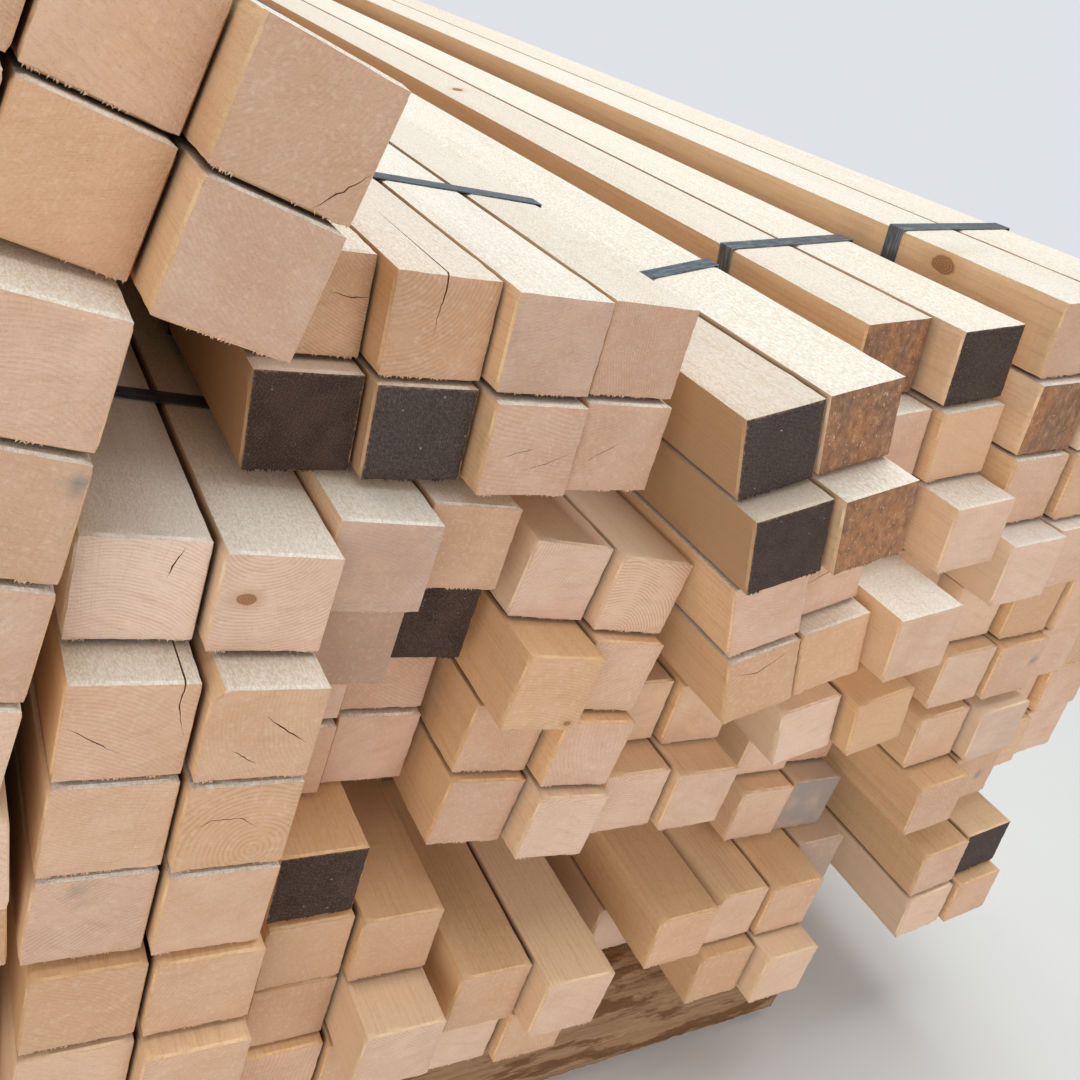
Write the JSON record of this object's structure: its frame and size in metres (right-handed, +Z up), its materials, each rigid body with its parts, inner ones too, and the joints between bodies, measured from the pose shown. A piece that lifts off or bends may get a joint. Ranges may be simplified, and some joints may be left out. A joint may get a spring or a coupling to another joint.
{
  "type": "stack of strapped pine stud bundles",
  "caption": "Sawn square pine studs in strapped bundles, stacked upright, flat and leaning with staggered ends, on rough cross bearers and spacers.",
  "frame": {"origin": "middle of the footprint, on the ground plane under the bearers", "axes": "+Z up; the studs run along Y and the pictured ends face -Y; +X to the right seen from that end"},
  "size_m": [0.9942, 3.108, 0.7196],
  "materials": {
    "pine": "rough sawn, pale",
    "strap": "dark flat steel strap",
    "bearer": "rough sawn with waney edges",
    "spacer": "rough sawn"
  },
  "bodies": {
    "root": {"far_left_lower_studs": "pine", "far_left_lower_straps": "strap", "left_lower_studs": "pine", "left_lower_straps": "strap", "middle_lower_studs": "pine", "middle_lower_straps": "strap", "loose_lower_studs": "pine", "inner_lower_studs": "pine", "inner_lower_straps": "strap", "wide_lower_studs": "pine", "wide_lower_straps": "strap", "right_lower_studs": "pine", "right_lower_straps": "strap", "far_left_middle_studs": "pine", "far_left_middle_straps": "strap", "far_left_upper_studs": "pine", "far_left_upper_straps": "strap", "left_upper_studs": "pine", "left_upper_straps": "strap", "middle_upper_studs": "pine", "middle_upper_straps": "strap", "inner_upper_studs": "pine", "inner_upper_straps": "strap", "under_left_studs": "pine", "under_left_straps": "strap", "under_right_studs": "pine", "under_right_straps": "strap", "right_middle_studs": "pine", "right_middle_straps": "strap", "under_far_studs": "pine", "under_far_straps": "strap", "far_right_middle_studs": "pine", "far_right_middle_straps": "strap", "top_flat_studs": "pine", "top_flat_straps": "strap", "leaning_studs": "pine", "leaning_straps": "strap", "right_upper_studs": "pine", "right_upper_straps": "strap", "far_right_upper_studs": "pine", "far_right_upper_straps": "strap", "top_left_studs": "pine", "top_left_straps": "strap", "bearers": "bearer", "spacers": "spacer"}
  },
  "joints": []
}
